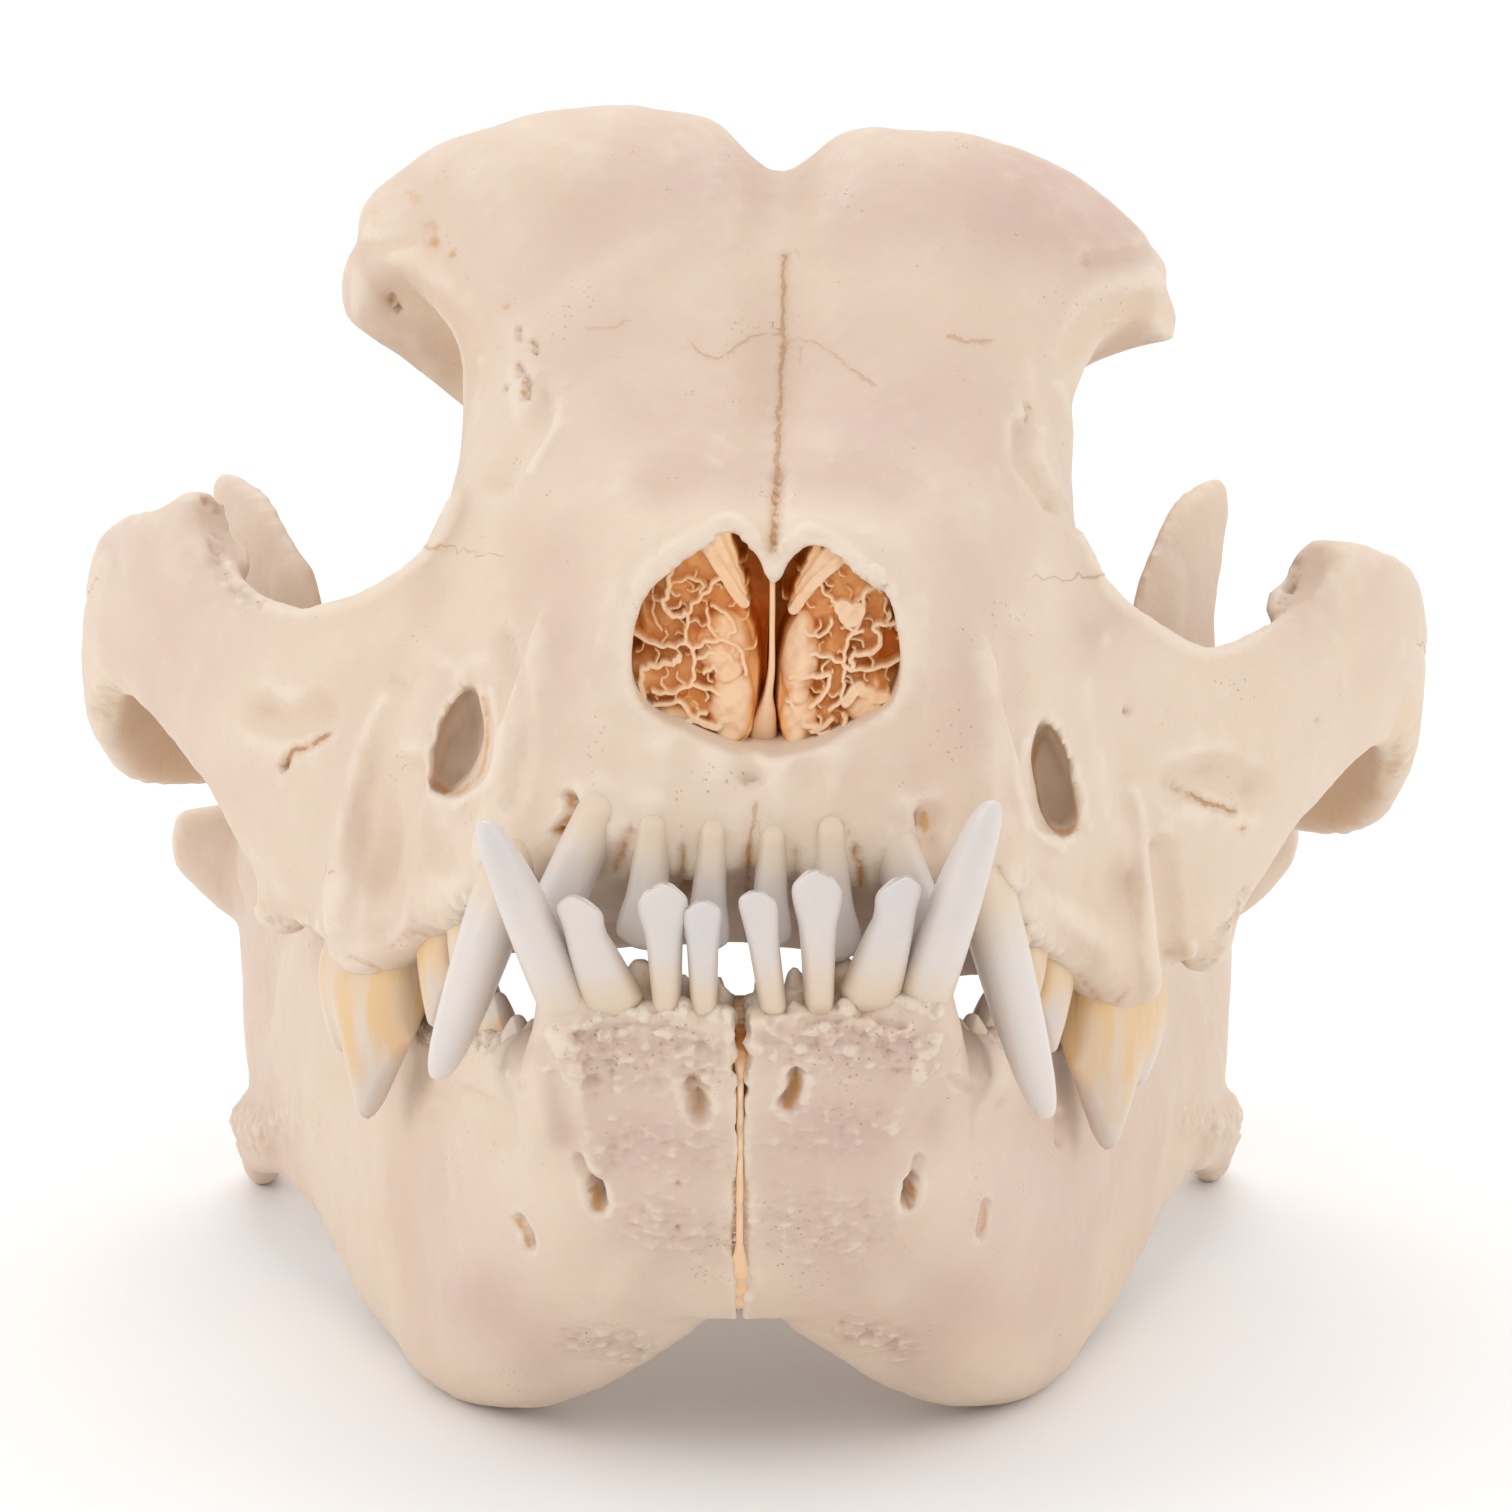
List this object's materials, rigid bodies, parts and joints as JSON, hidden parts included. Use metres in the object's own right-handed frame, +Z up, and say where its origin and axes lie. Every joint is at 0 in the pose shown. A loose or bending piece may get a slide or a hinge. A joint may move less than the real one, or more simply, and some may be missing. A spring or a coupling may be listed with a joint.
{
  "type": "dog skull",
  "caption": "Life-size skull of a short-faced dog with both lower jaw halves and all teeth, resting on its jaw as a still museum model.",
  "frame": {"origin": "centre of the bounding box in plan, on the surface that the lower jaw rests on", "axes": "+Z up, the face towards -Y, +Y towards the back of the head, +X towards the animal's left"},
  "size_m": [0.1401, 0.1776, 0.1268],
  "materials": {
    "bone": "clean, dry ivory-coloured bone, satin to matte",
    "nose_bone": "thin scrolled bone stained orange-brown in the nose, matte"
  },
  "bodies": {
    "root": {"upper_jaw": "bone", "forehead": "bone", "braincase": "bone", "zygomatic_arch_left": "bone", "zygomatic_arch_right": "bone", "lower_jaw_left": "bone", "lower_jaw_right": "bone", "turbinates_left": "nose_bone", "turbinates_right": "nose_bone", "nasal_septum": "nose_bone"}
  },
  "joints": []
}
